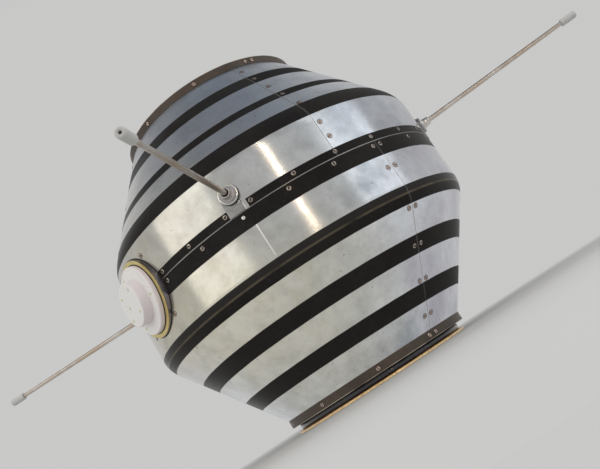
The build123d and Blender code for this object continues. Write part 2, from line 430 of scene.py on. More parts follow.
# Connectors: two ground-cable sockets. Each has a gold-plated flange with two ears, held by six
# small screws, and a grey shell with a bright rim, bayonet pins, and contact pins in a black insert.
FLANGE_THICKNESS = 0.0025
FLANGE_RADIUS = 0.022
FLANGE_KEYWAY = (0.0022, 0.008, 0.01)
EAR_RADIUS = 0.008
EAR_OFFSET = 0.020
EAR_STEPS = 20
EDGE_STEPS = 26
EAR_SCREWS = ((24.2, 0), (24.2, 180), (18.0, 52), (18.0, 128), (18.0, 232), (18.0, 308))
EAR_SCREW_SCALE = 0.42
EAR_SLOT_TURN = 3.7
CONNECTOR_RADIUS = 83.0
CONNECTOR_AZIMUTHS = (68.4, 248.4)
CONNECTOR_TURNS = (12.0, 192.0)
BARREL_OUTLINE = (
    (0.0, 2.5), (12.0, 2.5), (12.0, 5.0), (11.6, 5.3), (11.6, 5.9), (12.0, 6.2), (12.0, 8.0),
    (11.6, 8.3), (11.6, 8.9), (12.0, 9.2), (12.0, 10.0), (12.8, 10.3), (12.8, 11.6), (12.4, 12.0),
    (10.8, 12.0), (10.4, 11.6), (10.4, 5.0), (0.0, 5.0),
)
BARREL_RIM_START = 0.0098
INSERT_OUTLINE = ((0.0, 4.5), (10.3, 4.5), (10.3, 7.4), (9.9, 7.8), (0.0, 7.8))
PIN_OUTLINE = ((0.0, 0.0), (0.75, 0.0), (0.75, 1.7), (0.5, 2.1), (0.0, 2.2))
PIN_RINGS = ((0.0, 1), (3.6, 6), (7.2, 12))
PIN_HEIGHT = 0.0077
BAYONET_OUTLINE = ((0.0, 0.0), (1.1, 0.0), (1.1, 1.3), (0.8, 1.6), (0.0, 1.6))
BAYONET_SPOT = (0.0118, 0.0072)
BAYONET_ANGLES = (30, 150, 270)
SCREW_OUTLINE = (
    (0.0, -0.3), (4.2, -0.3), (4.2, 0.02), (4.0, 0.16), (3.8, 0.16), (3.55, -0.12), (3.2, -0.12),
    (3.1, 0.16), (2.8, 0.36), (2.3, 0.44), (0.0, 0.36),
)
SCREW_SIDES = 24
SCREW_EDGE = 0.0032
SCREW_RIM = 0.0025
SCREW_SUNK = 0.00005
SLOT_SIZE = (0.0011, 0.0056, 0.0008)
SLOT_HEIGHT = 0.0004


def screw_head(rim, middle):
    """One slotted head facing +Z, ringed by painted shade for its countersink, from the finishes of its
    rim and middle.
    """
    head = turned("screw_head", SCREW_OUTLINE, SCREW_SIDES)
    cut(head, SLOT_SIZE, offset(0, SLOT_HEIGHT))
    smoothed(head)
    wear(head, recess_painted_shade, rim, middle)
    for face in head.data.polygons:
        radius = face.center.xy.length
        if radius > SCREW_EDGE or face.center.z < SCREW_SUNK:
            face.material_index = 0
        else:
            face.material_index = 1 if radius > SCREW_RIM else 2
    return head


def wear_second(piece, chosen):
    """Gives a piece's second finish to the faces whose centres pass a test."""
    for face in piece.data.polygons:
        face.material_index = int(chosen(face.center))


def bevelled(piece, width):
    """Rounds off the edges of a piece that are sharper than 40 degrees."""
    limit = math.radians(40)
    return modified(piece, "BEVEL", width=width, segments=2, limit_method="ANGLE", angle_limit=limit)


def flange_plate():
    """The two-eared flange, facing +Z from the origin, with a keyway in the middle of its edge."""
    corner_x = (FLANGE_RADIUS ** 2 - EAR_RADIUS ** 2 + EAR_OFFSET ** 2) / (2 * EAR_OFFSET)
    corner_y = math.sqrt(FLANGE_RADIUS ** 2 - corner_x ** 2)
    edge_start = math.atan2(corner_y, corner_x)
    ear_start = math.atan2(corner_y, corner_x - EAR_OFFSET)
    points = []
    for side in (1, -1):
        for step in range(EAR_STEPS):
            angle = ear_start * (2 * step / EAR_STEPS - 1)
            reach = EAR_OFFSET + EAR_RADIUS * math.cos(angle)
            points.append((side * reach, side * EAR_RADIUS * math.sin(angle), 0))
        for step in range(EDGE_STEPS):
            angle = edge_start + (math.pi - 2 * edge_start) * step / EDGE_STEPS
            reach = side * FLANGE_RADIUS
            points.append((reach * math.cos(angle), reach * math.sin(angle), 0))
    flange = traced("flange", points + points[:1])
    bpy.ops.mesh.remove_doubles(threshold=0.000001)
    bpy.ops.mesh.edge_face_add()
    bpy.ops.mesh.extrude_region_move(TRANSFORM_OT_translate={"value": (0, 0, FLANGE_THICKNESS)})
    bpy.ops.mesh.select_all(action="SELECT")
    bpy.ops.mesh.normals_make_consistent(inside=False)
    bpy.ops.object.mode_set(mode="OBJECT")
    cut(flange, FLANGE_KEYWAY, Matrix.Translation((0, FLANGE_RADIUS, 0)))
    return smoothed(bevelled(flange, 0.0004))


def flange_finish():
    """Gold plating gone patchy: bright film, dull film, and pits down to the dark base metal."""
    finish = Finish("worn_gold_plating")
    patch = finish.noise(180.0, 4.0, 0.6)
    pits = finish.noise(620.0, 3.0)
    pitted = pits.above(0.63, 0.05)
    film = finish.mix(patch.above(0.5, 0.25), (0.93, 0.80, 0.46), (0.78, 0.60, 0.30))
    return finish.dress(
        Base_Color=finish.mix(pitted, film, (0.24, 0.15, 0.06)),
        Metallic=1.0,
        Roughness=0.26 + patch * 0.14 + pitted * 0.3,
        Normal=finish.bump(pits, 0.3, 0.0003),
    )


flange_gold = flange_finish()
barrel_grey = turned_finish("grey_barrel_metal", (0.62, 0.58, 0.62), 0.26)
barrel_rim_gold = turned_finish("bright_barrel_rim", (0.92, 0.76, 0.44), 0.20)
insert_black = coated_finish("moulded_black_insert", (0.018, 0.017, 0.017), 0.42, (0.05, 0.045, 0.04))
# Painted shade for recesses: the ring round each screw head, the bore of each antenna cup and the ring
# round each joint dot
recess_painted_shade = turned_finish("painted_recess_shade", (0.070, 0.038, 0.028), 0.40)
screw_gold = turned_finish("gold_screw", (0.86, 0.68, 0.36), 0.22)

flange_model = flange_plate()
wear(flange_model, flange_gold)
barrel_model = shaped("barrel", BARREL_OUTLINE, 64, barrel_grey, barrel_rim_gold)
wear_second(barrel_model, lambda centre: centre.z > BARREL_RIM_START)
insert_model = shaped("insert", INSERT_OUTLINE, 48, insert_black)
pin_model = shaped("pin", PIN_OUTLINE, 10, barrel_rim_gold)
bayonet_model = shaped("bayonet", BAYONET_OUTLINE, 12, barrel_grey)
small_screw = screw_head(screw_gold, screw_gold)
for number, (azimuth, spin) in enumerate(zip(CONNECTOR_AZIMUTHS, CONNECTOR_TURNS), start=1):
    middle = under_plate(CONNECTOR_RADIUS, azimuth, spin)
    flange = repeated(f"connector_flange_plated_{number}", flange_model, [middle])
    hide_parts(f"connector_flange_{number}")
    barrel = repeated(f"connector_barrel_shell_{number}", barrel_model, [middle])
    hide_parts(f"connector_barrel_{number}")
    insert = repeated(f"connector_insert_{number}", insert_model, [middle])
    pin_places = []
    for reach, count in PIN_RINGS:
        for index in range(count):
            turn = about_z(360 * index / count)
            pin_places.append(middle @ turn @ offset(reach / 1000, PIN_HEIGHT))
    pins = repeated(f"connector_pins_{number}", pin_model, pin_places)
    bayonets = []
    for angle in BAYONET_ANGLES:
        outward = offset(*BAYONET_SPOT) @ Matrix.Rotation(math.pi / 2, 4, "Y")
        bayonets.append(middle @ about_z(angle) @ outward)
    lugs = repeated(f"connector_bayonet_pins_{number}", bayonet_model, bayonets)
    screw_places = []
    for reach, angle in EAR_SCREWS:
        spot = about_z(angle) @ offset(reach / 1000, FLANGE_THICKNESS) @ about_z(EAR_SLOT_TURN * angle)
        screw_places.append(middle @ spot @ Matrix.Scale(EAR_SCREW_SCALE, 4))
    ear_screws = repeated(f"connector_screws_{number}", small_screw, screw_places)
    for piece in (flange, barrel, insert, pins, lugs, ear_screws):
        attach(piece, "root")
discard(flange_model, barrel_model, insert_model, pin_model, bayonet_model, small_screw)


# Fittings on the end plate: a square black grommet with a cut cable end, a thin bright plug over a
# filling hole, and one slotted screw on a boss.
STUB_RADIUS = 71.0
STUB_AZIMUTH = -73.0
STUB_SIDE = 0.010
STUB_LENGTH = 0.006
STUB_WALL = 0.0014
STUB_HOLLOW = 0.0028
PLUG_SPOT = (109, 149.5)
BOSS_SPOT = (65.5, 112)
BOSS_TOP = 0.0014
BOSS_SLOT_TURN = 20
PLUG_OUTLINE = (
    (0.0, -0.3), (7.5, -0.3), (7.5, 0.7), (7.1, 1.1), (6.2, 1.2), (5.6, 0.9), (1.2, 0.8), (0.0, 0.8),
)
BOSS_OUTLINE = ((0.0, -0.3), (5.2, -0.3), (5.2, 0.9), (4.7, 1.4), (0.0, 1.4))
CABLE_OUTLINE = ((0.0, 3.0), (3.2, 3.0), (3.2, 5.4), (2.9, 5.8), (0.0, 5.8))

stub_place = under_plate(STUB_RADIUS, STUB_AZIMUTH)
stub = block("cable_grommet", (STUB_SIDE, STUB_SIDE, STUB_LENGTH))
bpy.ops.object.mode_set(mode="EDIT")
bpy.ops.mesh.select_mode(type="FACE")
bpy.ops.mesh.select_all(action="DESELECT")
bpy.ops.object.mode_set(mode="OBJECT")
for face in stub.data.polygons:
    face.select = face.normal.z > 0.9
bpy.ops.object.mode_set(mode="EDIT")
bpy.ops.mesh.inset(thickness=STUB_WALL, depth=0)
bpy.ops.mesh.extrude_region_move(TRANSFORM_OT_translate={"value": (0, 0, -STUB_HOLLOW)})
bpy.ops.object.mode_set(mode="OBJECT")
bevelled(stub, 0.0005)
smoothed(placed(stub, stub_place @ offset(0, STUB_LENGTH / 2)))
wear(stub, coated_finish("grommet_rubber", (0.014, 0.014, 0.015), 0.62, (0.045, 0.043, 0.040)))
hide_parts("cable_stub")
cable_metal = turned_finish("cut_cable_metal", (0.86, 0.62, 0.48), 0.25)
cable_end = placed(shaped("cut_cable_end", CABLE_OUTLINE, 24, cable_metal), stub_place)
plug = placed(shaped("thin_round_plug", PLUG_OUTLINE, 40, flange_gold), under_plate(*PLUG_SPOT))
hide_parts("base_plug")
boss = placed(shaped("screw_boss", BOSS_OUTLINE, 28, rivet_metal), under_plate(*BOSS_SPOT))
screw_bronze = turned_finish("bronze_screw", (0.50, 0.39, 0.34), 0.20)
screw_worn_rim = turned_finish("worn_screw_rim", (0.56, 0.50, 0.45), 0.24)
boss_model = screw_head(screw_worn_rim, screw_bronze)
screw_spot = under_plate(*BOSS_SPOT, BOSS_SLOT_TURN) @ offset(0, BOSS_TOP)
boss_screw = repeated("boss_screw", boss_model, [screw_spot])
discard(boss_model)
for piece in (stub, cable_end, plug, boss, boss_screw):
    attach(piece, "root")


# Rim bands: dark brown coated rings that hold the ends of the panels. Their outer edges carry a painted
# highlight, coloured as bare metal through the coating, and a slit splits each one where the seam screws
# sit.
RIM_LOW = 13.2
RIM_HIGH = 26.2
UPPER_RIM_LOW = 516.8
RIM_OUTER = 158.5
RIM_RADIUS = RIM_OUTER / 1000
RIM_INNER = 147.0
RIM_CHAMFER = 0.6
RIM_HIGH_CHAMFER = 0.4
SEAM_AZIMUTHS = (0, 180)
RIM_MIDDLE = 0.0065
UPPER_RIM_TOP = 0.5298
RIM_HIGHLIGHT_WIDTH = 0.0007
RIM_SLIT = (0.002, 0.0006, 0.02)


def rim_outline(bottom):
    top = bottom + RIM_HIGH - RIM_LOW
    return (
        (RIM_INNER, bottom), (RIM_OUTER - RIM_CHAMFER, bottom), (RIM_OUTER, bottom + RIM_CHAMFER),
        (RIM_OUTER, top - RIM_HIGH_CHAMFER), (RIM_OUTER - RIM_HIGH_CHAMFER, top), (RIM_INNER, top),
    )


def rim_finish():
    finish = Finish("brown_rim_coating")
    height = finish.axes()[2]
    low_edge = 1 - height.above(RIM_LOW / 1000 + RIM_HIGHLIGHT_WIDTH, 0.0006)
    high_edge = height.above(UPPER_RIM_TOP - RIM_HIGHLIGHT_WIDTH, 0.0006)
    flecks = finish.noise(240.0, 3.0)
    cloud = finish.noise(16.0, 5.0, 0.6)
    # Painted highlight: the outer edges of both rims are coloured as bright bare metal
    second_tone = (low_edge + high_edge) * cloud.above(0.45, 0.2)
    coat = finish.mix(cloud.above(0.5, 0.4), (0.044, 0.033, 0.026), (0.088, 0.065, 0.048))
    return finish.dress(
        Base_Color=finish.mix(second_tone, coat, (0.62, 0.54, 0.44)),
        Metallic=0.35 + second_tone * 0.6,
        Roughness=0.34 + cloud * 0.16 + flecks * 0.06 - second_tone * 0.15,
        Normal=finish.bump(flecks, 0.1, 0.0003),
    )


rim_brown = rim_finish()
for name, bottom in (("lower_rim_band", RIM_LOW), ("upper_rim_band", UPPER_RIM_LOW)):
    rim = turned(f"{name}_coated", rim_outline(bottom), 160)
    for azimuth in SEAM_AZIMUTHS:
        cut(rim, RIM_SLIT, about_z(azimuth) @ offset(RIM_RADIUS, bottom / 1000 + RIM_MIDDLE))
    smoothed(rim)
    wear(rim, rim_brown)
    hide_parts(name)
    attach(rim, "root")


# Shell panels: thin aluminium alloy sheet, formed to the two cones and the belt and then polished.
# Matt black coating runs round them in bands; the bare metal keeps clouds left by polishing and hands.
# Warm light on one side, a slate reflection high up, a sheen on one band and highlights along the seams
# and the lower corner are painted into the colour.
BLACK_BANDS = (
    (0.0617, 0.0843),
    (0.1196, 0.1420),
    (0.1778, 0.2025),
    (0.2535, 0.2775),
    (0.3470, 0.3744),
    (0.4032, 0.4176),
    (0.4587, 0.4813),
)
JOINT_STRIP = (0.2775, 0.2900)
STRIP_GAP = 0.015
BAND_EDGE = 0.0006
BAND_WANDER = 0.0006
DIAGONAL = 0.70711
SEAM_WIDTH = 0.0010
SEAM_EDGE = 0.0005
UPPER_SEAM_AZIMUTH = -13.6
SHELL_BRIGHT = (0.71, 0.74, 0.79)
SHELL_CLOUD = (0.40, 0.43, 0.48)
SHELL_LILAC = (0.58, 0.55, 0.62)
SHELL_WARM_LIGHT_AND_TINT = (0.76, 0.66, 0.38)
SHELL_SLATE_REFLECTION = (0.40, 0.44, 0.50)
SHELL_POLISHED = (0.80, 0.83, 0.86)
SHELL_SMEARED = (0.33, 0.34, 0.31)
SHELL_SPECK = (0.16, 0.16, 0.16)
SHELL_WORN_AND_HIGHLIGHT = (0.88, 0.87, 0.84)
BAND_BLACK = (0.010, 0.009, 0.009)
BAND_RUBBED_AND_SHEEN = (0.040, 0.037, 0.034)
CORNER_SHINE = 0.1915
CORNER_REACH = 0.0012
SHEEN_TOP = 0.2100
CORNER_WEAR_AND_HIGHLIGHT = (0.150, 0.125, 0.085)


def shell_finish():
    finish = Finish("banded_polished_shell")
    x, y, height = finish.axes()
    edge_wander = finish.noise(45.0, 2.0)
    line = height + (edge_wander - 0.5) * BAND_WANDER
    mask = line.between(*BLACK_BANDS[0], BAND_EDGE)
    for low, high in BLACK_BANDS[1:]:
        mask = mask + line.between(low, high, BAND_EDGE)
    # The strip above the joint line stops beside each antenna bracket
    across = ((x + y) * DIAGONAL).math("ABSOLUTE")
    along = ((y - x) * DIAGONAL).math("ABSOLUTE")
    beside = across.math("MINIMUM", along).above(STRIP_GAP, BAND_EDGE)
    mask = mask + line.between(*JOINT_STRIP, BAND_EDGE) * beside
    # A painted highlight runs along the lower and the upper seams, drawn as sheet edges rubbed bare and
    # bright
    upper_turn = math.radians(UPPER_SEAM_AZIMUTH)
    upper_x = (x * math.cos(upper_turn) + y * math.sin(upper_turn)).math("ABSOLUTE")
    upper_y = (y * math.cos(upper_turn) - x * math.sin(upper_turn)).math("ABSOLUTE")
    upper_seam = 1 - upper_x.math("MINIMUM", upper_y).above(SEAM_WIDTH, SEAM_EDGE)
    lower_seam = 1 - y.math("ABSOLUTE").above(SEAM_WIDTH, SEAM_EDGE)
    is_upper = height.above(JOINT_STRIP[0], 0.0004)
    seam = upper_seam * is_upper + lower_seam * (1 - is_upper)
    cloud = finish.noise(8.0, 5.0, 0.62)
    blotch = finish.noise(28.0, 4.0, 0.6)
    brushed = finish.noise(4.0, 2.0, stretch=(6.0, 6.0, 900.0))
    streaks = finish.noise(3.0, 3.0, stretch=(90.0, 90.0, 5.0))
    specks = finish.noise(150.0, 2.0).above(0.74, 0.03)
    drift = finish.noise(3.2, 2.0)
    # Painted reflection: the bare metal turns slate higher up, as mirroring a dim ceiling
    ceiling_reflection = height.above(0.31, 0.22) * 0.5
    # Painted warm light: the bare metal is tinted warm on the -Y side, towards the key lamp, and low down
    # on the +X side, over a random warm drift
    low_down = 1 - height.above(0.16, 0.12)
    warm_light_and_tint = drift.above(0.5, 0.3) * 0.26 - (y + 0.10) * 3.3 + low_down * (x - 0.10) * 2.2
    warm_light_and_tint = warm_light_and_tint.math("ADD", 0.0, clamp=True)
    smudge = (cloud * 0.6 + blotch * 0.4).above(0.53, 0.20)
    wisps = finish.noise(11.0, 5.0, 0.6, 0.8).between(0.44, 0.54, 0.16)
    dabs = finish.noise(36.0, 4.0, 0.6).above(0.60, 0.20)
    metal = finish.mix(smudge, SHELL_BRIGHT, SHELL_CLOUD)
    metal = finish.mix(drift.between(0.36, 0.47, 0.08) * 0.6, metal, SHELL_LILAC)
    metal = finish.mix(warm_light_and_tint * 0.75, metal, SHELL_WARM_LIGHT_AND_TINT)
    metal = finish.mix(ceiling_reflection * (1 - warm_light_and_tint * 0.5), metal, SHELL_SLATE_REFLECTION)
    metal = finish.mix(wisps * 0.26, metal, SHELL_POLISHED)
    metal = finish.mix(dabs * 0.26, metal, SHELL_SMEARED)
    metal = finish.mix(specks * 0.6, metal, SHELL_SPECK)
    # The seams get their painted highlight and worn brightness here
    metal = finish.mix(seam * 0.8, metal, SHELL_WORN_AND_HIGHLIGHT)
    grain = finish.noise(1100.0, 2.0)
    scuffs = finish.noise(3.0, 6.0, stretch=(60.0, 60.0, 500.0))
    second_tone = scuffs.above(0.62, 0.12) * 0.5 + cloud.above(0.5, 0.4) * 0.4
    # Painted sheen: the belt half of the band across the lower corner is coloured paler and made a little
    # smoother, as a satin sheen
    painted_sheen = height.between(CORNER_SHINE, SHEEN_TOP, 0.0030)
    coat = finish.mix(second_tone * (1 - painted_sheen) + painted_sheen * 0.6, BAND_BLACK, BAND_RUBBED_AND_SHEEN)
    mask = mask * (1 - seam * (blotch * 0.25))
    # Painted highlight along the bend of the lower corner, drawn as coating worn thin there
    corner_highlight_and_wear = height.between(CORNER_SHINE - CORNER_REACH, CORNER_SHINE + CORNER_REACH, 0.0016)
    corner_highlight_and_wear = corner_highlight_and_wear * blotch.above(0.35, 0.3)
    coat = finish.mix(corner_highlight_and_wear * 0.7, coat, CORNER_WEAR_AND_HIGHLIGHT)
    bare_rough = 0.17 + smudge * 0.09 + brushed * 0.04 + streaks * 0.04 - wisps * 0.02
    coat_rough = 0.36 + cloud * 0.14 - corner_highlight_and_wear * 0.16 - painted_sheen * 0.12
    return finish.dress(
        Base_Color=finish.mix(mask, metal, coat),
        Metallic=1 - mask,
        Roughness=bare_rough * (1 - mask) + mask * coat_rough,
        Specular_IOR_Level=0.08,
        Anisotropic=0.9,
        Anisotropic_Rotation=0.25,
        Coat_Weight=(1 - mask) * 0.3,
        Coat_Roughness=0.05,
        Normal=finish.bump(blotch * 0.14 + brushed * 0.10 + grain * 0.12 + mask * 0.25, 0.22, 0.0004),
    )


shell_polished = shell_finish()
for half, count in (("lower", 2), ("upper", 4)):
    for number in range(1, count + 1):
        wear(nodes[f"{half}_panel_{number}"], shell_polished)


# Butt strips: narrow bright slips of the same metal over places where two sheets of one panel meet,
# with no screws of their own. Four stand on the belt, four beside the antenna brackets and two low
# on the cone. Each row is a name, the azimuths, and the lower and upper end.
BUTT_STRIPS = (
    ("belt_butt_strip", (-43, 47, 137, -101), (0.2060, 0.2535)),
    ("cone_butt_strip", (-101, 79), (0.0285, 0.0610)),
    ("bracket_butt_strip", (47, 137, 227, 317), (0.2782, 0.2890)),
)
STRIP_WIDTH = 0.0018
STRIP_THICKNESS = 0.0005
STRIP_BEVEL = 0.00018
CONE_SLOPE = 0.722
CONE_LEAN = math.atan(CONE_SLOPE)
BELT_RADIUS = 0.2765
SHELL_BOTTOM = RIM_HIGH / 1000
SHELL_TOP = UPPER_RIM_LOW / 1000
LOWER_CORNER = SHELL_BOTTOM + (BELT_RADIUS - RIM_RADIUS) / CONE_SLOPE
UPPER_CORNER = SHELL_BOTTOM + SHELL_TOP - LOWER_CORNER


def on_shell(azimuth, height, sideways=0.0, spin=0.0):
    """A place on the body's outside, facing out, moved sideways by metres and spun by degrees."""
    lean = 0.0
    if height < SHELL_BOTTOM or height > SHELL_TOP:
        radius = RIM_RADIUS
    elif height < LOWER_CORNER:
        radius = RIM_RADIUS + CONE_SLOPE * (height - SHELL_BOTTOM)
        lean = CONE_LEAN
    elif height > UPPER_CORNER:
        radius = RIM_RADIUS + CONE_SLOPE * (SHELL_TOP - height)
        lean = -CONE_LEAN
    else:
        radius = BELT_RADIUS
    turn = Matrix.Rotation(math.radians(azimuth) + sideways / radius, 4, "Z")
    outward = Matrix.Rotation(math.pi / 2 + lean, 4, "Y")
    return turn @ offset(radius, height) @ outward @ about_z(spin)


strip_bright = turned_finish("bright_butt_strip", (0.95, 0.95, 0.93), 0.34, tarnish=0.88)
for name, azimuths, (low, high) in BUTT_STRIPS:
    slant = math.cos(CONE_LEAN) if high < LOWER_CORNER else 1.0
    for number, azimuth in enumerate(azimuths, start=1):
        strip = block(f"{name}_{number}", ((high - low) / slant, STRIP_WIDTH, STRIP_THICKNESS))
        bevelled(strip, STRIP_BEVEL)
        smoothed(placed(strip, on_shell(azimuth, (low + high) / 2)))
        wear(strip, strip_bright)
        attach(strip, "root")


# Joint ring: the bare edge of the turned frame that both halves of the shell are screwed to. It
# shows as one bright line inside the widest black band.
wear(nodes["joint_ring"], turned_finish("bare_joint_edge", (0.32, 0.31, 0.30), 0.30))


# Shell screws: slotted heads, each ringed with painted shade where its countersink is, set flush with the
# sheet. They stand in pairs at the lower seams, singly beside the upper ones, in rows along the joint line
# and round both rims; those within a black band were coated with it, and their edges have since worn
# bright.
SEAM_OFFSET = 0.007
LOWER_SEAM_HEIGHTS = (0.045, 0.088, 0.130, 0.1735, 0.234)
UPPER_SEAM_HEIGHTS = (0.308, 0.332, 0.377, 0.410, 0.439, 0.471, 0.500)
UPPER_ROW_HEIGHT = 0.2850
UPPER_ROW = (0.0, 13.6, 27.2, 40.8, 49.2, 62.8, 76.4)
LOWER_ROW_HEIGHT = 0.2705
LOWER_ROW = (1.5, 16.0, 30.5, 59.5, 74.0, 88.5)
LOWER_SEAM_ROW = (-1.5, 178.5)
SLOT_TURN = 37
PORT_AZIMUTH = 270
PORT_CLEAR = 13.4
PORT_ROW_END = 14.3
PORT_NEAR = 17.0
RIM_SCREW_HEIGHTS = (RIM_LOW / 1000 + RIM_MIDDLE, UPPER_RIM_LOW / 1000 + RIM_MIDDLE)
RIM_SCREW_STEP = 36
PORT_SCREW_HEIGHTS = (0.2295, 0.3255)
PORT_SCREW_SIDE = 0.046


def blackened_finish():
    """Coated screw metal, rubbed bright in small spots."""
    finish = Finish("coated_screw")
    spots = finish.noise(900.0, 3.0).above(0.56, 0.1)
    return finish.dress(
        Base_Color=finish.mix(spots, (0.035, 0.032, 0.030), (0.60, 0.55, 0.48)),
        Metallic=0.4 + spots * 0.6,
        Roughness=0.40 - spots * 0.16,
        Normal=finish.bump(spots, 0.15, 0.0002),
    )


bare_places = []
coated_places = []


def add_screw(azimuth, height, sideways=0.0):
    """Notes one screw's place, bare or coated by the colour of the shell there."""
    count = len(bare_places) + len(coated_places)
    place = on_shell(azimuth, height, sideways, SLOT_TURN * count)
    coated = any(low < height < high for low, high in (*BLACK_BANDS, JOINT_STRIP))
    (coated_places if coated else bare_places).append(place)


for azimuth in SEAM_AZIMUTHS:
    for height in LOWER_SEAM_HEIGHTS:
        for side in (-SEAM_OFFSET, SEAM_OFFSET):
            add_screw(azimuth, height, side)
for quarter in range(4):
    for height in UPPER_SEAM_HEIGHTS:
        add_screw(UPPER_SEAM_AZIMUTH + 90 * quarter, height, SEAM_OFFSET)
    for height, row in ((UPPER_ROW_HEIGHT, UPPER_ROW), (LOWER_ROW_HEIGHT, LOWER_ROW)):
        for azimuth in row:
            around = (90 * quarter + azimuth) % 360
            aside = around - PORT_AZIMUTH
            if PORT_CLEAR < abs(aside) < PORT_NEAR:
                around = PORT_AZIMUTH + math.copysign(PORT_ROW_END, aside)
            if abs(aside) > PORT_CLEAR:
                add_screw(around, height)
for azimuth in LOWER_SEAM_ROW:
    add_screw(azimuth, LOWER_ROW_HEIGHT)
for height in RIM_SCREW_HEIGHTS:
    for azimuth in SEAM_AZIMUTHS:
        for side in (-SEAM_OFFSET, SEAM_OFFSET):
            add_screw(azimuth, height, side)
    for azimuth in range(RIM_SCREW_STEP, 360, RIM_SCREW_STEP):
        if azimuth not in SEAM_AZIMUTHS:
            add_screw(azimuth, height)
for height in PORT_SCREW_HEIGHTS:
    for side in (-PORT_SCREW_SIDE, PORT_SCREW_SIDE):
        add_screw(PORT_AZIMUTH, height, side)

coated_metal = blackened_finish()
bare_model = screw_head(screw_bronze, screw_bronze)
coated_model = screw_head(screw_worn_rim, coated_metal)
bare_screws = repeated("bare_shell_screws", bare_model, bare_places)
coated_screws = repeated("coated_shell_screws", coated_model, coated_places)
discard(bare_model, coated_model)
for piece in (bare_screws, coated_screws):
    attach(piece, "root")


# Antennas: polished steel rods, tapering slightly, each screwed into a turned cup on a metal disc.
# A curved plate carries the disc on the belt, and a pale grey cap with a dimple closes the far end.
ANTENNA_AZIMUTHS = (45, 135, 225, 315)
ANTENNA_HEIGHT = 0.306
ANTENNA_TILT = 1.5
ROD_END = 0.2735
SEAL_OUTLINE = ((13.0, 1.5), (13.9, 1.6), (14.1, 2.0), (13.9, 2.5), (13.0, 2.6))
LIP_OUTLINE = (
    (11.3, 5.8), (13.4, 5.8), (13.9, 5.2), (13.9, 6.0), (13.5, 6.7), (12.7, 7.0), (11.9, 6.7), (11.3, 6.1),
)
CUP_OUTLINE = (
    (0.0, 6.1), (9.0, 6.1), (9.0, 7.4), (8.5, 8.0), (8.1, 9.0), (6.7, 16.9), (6.9, 17.4), (6.9, 18.6),
    (6.5, 19.1), (5.7, 19.1), (5.2, 18.6), (5.2, 15.0), (4.0, 14.8), (4.0, 10.1), (0.0, 10.1),
)
CUP_BORE = 0.0053
CUP_BORE_START = 0.0145
ROD_OUTLINE = ((0.0, 10.1), (4.0, 10.1), (3.3, 273.5), (0.0, 273.5))
CAP_OUTLINE = (
    (0.0, -0.2), (3.8, -0.2), (4.2, 0.0), (5.5, 0.0), (6.0, 0.6), (6.0, 22.8), (5.75, 24.4),
    (4.9, 25.6), (3.8, 26.0), (2.9, 25.8), (2.3, 25.0), (1.7, 24.4), (0.0, 24.2),
)
DIMPLE_RADIUS = 0.0019
DIMPLE_START = 0.020
BRACKET_THICKNESS = 0.0016
BRACKET_SCREW = (0.2910, 0.0060)
BRACKET_SCREW_SCALE = 0.75
BRACKET_SLOT_TURN = 70
DOT_OUTLINE = (
    (0.0, -0.3), (3.4, -0.3), (3.4, 0.05), (2.9, 0.05), (2.7, -0.1), (2.4, 0.3), (1.6, 0.7), (0.0, 0.85),
)
DOT_EDGE = 0.0026
DOT_HEIGHT = 0.2705


def along_antenna(azimuth, reach=0.0):
    """A place on an antenna's own axis, facing along it, measured from the belt."""
    tilt = Matrix.Rotation(math.radians(90 - ANTENNA_TILT), 4, "Y")
    return about_z(azimuth) @ offset(BELT_RADIUS, ANTENNA_HEIGHT) @ tilt @ offset(0, reach)


def rod_finish():
    """Drawn steel, polished and since gone satin, with dull and straw-coloured lengths."""
    finish = Finish("polished_rod_steel")
    x, y, _ = finish.axes()
    lengthwise = finish.add("CombineXYZ", {"X": finish.from_axis(), "Y": x * 0.2, "Z": y * 0.2})
    patch = finish.noise(16.0, 3.0, place=lengthwise)
    stain = finish.noise(45.0, 2.0, place=lengthwise).above(0.60, 0.16)
    steel = finish.mix(patch.above(0.52, 0.3), (0.62, 0.58, 0.55), (0.52, 0.43, 0.34))
    return finish.dress(
        Base_Color=finish.mix(stain * 0.35, steel, (0.34, 0.26, 0.20)),
        Metallic=1.0,
        Roughness=0.31 + patch * 0.05 + stain * 0.04,
    )


def bracket_finish():
    """Grey anodised plate, rubbed in clouds, with short scratches from the fitting of the disc."""
    finish = Finish("grey_bracket_plate")
    cloud = finish.noise(60.0, 5.0, 0.6)
    scratches = finish.noise(1.0, 3.0, stretch=(260.0, 260.0, 1500.0))
    grey = finish.mix(cloud.above(0.5, 0.3), (0.42, 0.42, 0.42), (0.32, 0.32, 0.31))
    return finish.dress(
        Base_Color=finish.mix(scratches.above(0.64, 0.06) * 0.6, grey, (0.62, 0.61, 0.58)),
        Metallic=0.9,
        Roughness=0.32 + cloud * 0.14,
        Normal=finish.bump(scratches, 0.15, 0.0002),
    )


bracket_grey = bracket_finish()
socket_grey = turned_finish("lilac_grey_socket_disc", (0.46, 0.44, 0.48), 0.28, tarnish=0.8)
lip_bright = turned_finish("bright_disc_lip", (0.84, 0.83, 0.80), 0.16)
cup_bright = turned_finish("bright_cup_metal", (0.74, 0.71, 0.67), 0.16)
rod_steel = rod_finish()
cap_grey = coated_finish("pale_grey_cap", (0.60, 0.60, 0.59), 0.40, (0.46, 0.46, 0.45))
black_seal_and_shade = coated_finish("black_seal_and_painted_shade", (0.012, 0.012, 0.012), 0.55, (0.03, 0.03, 0.03))

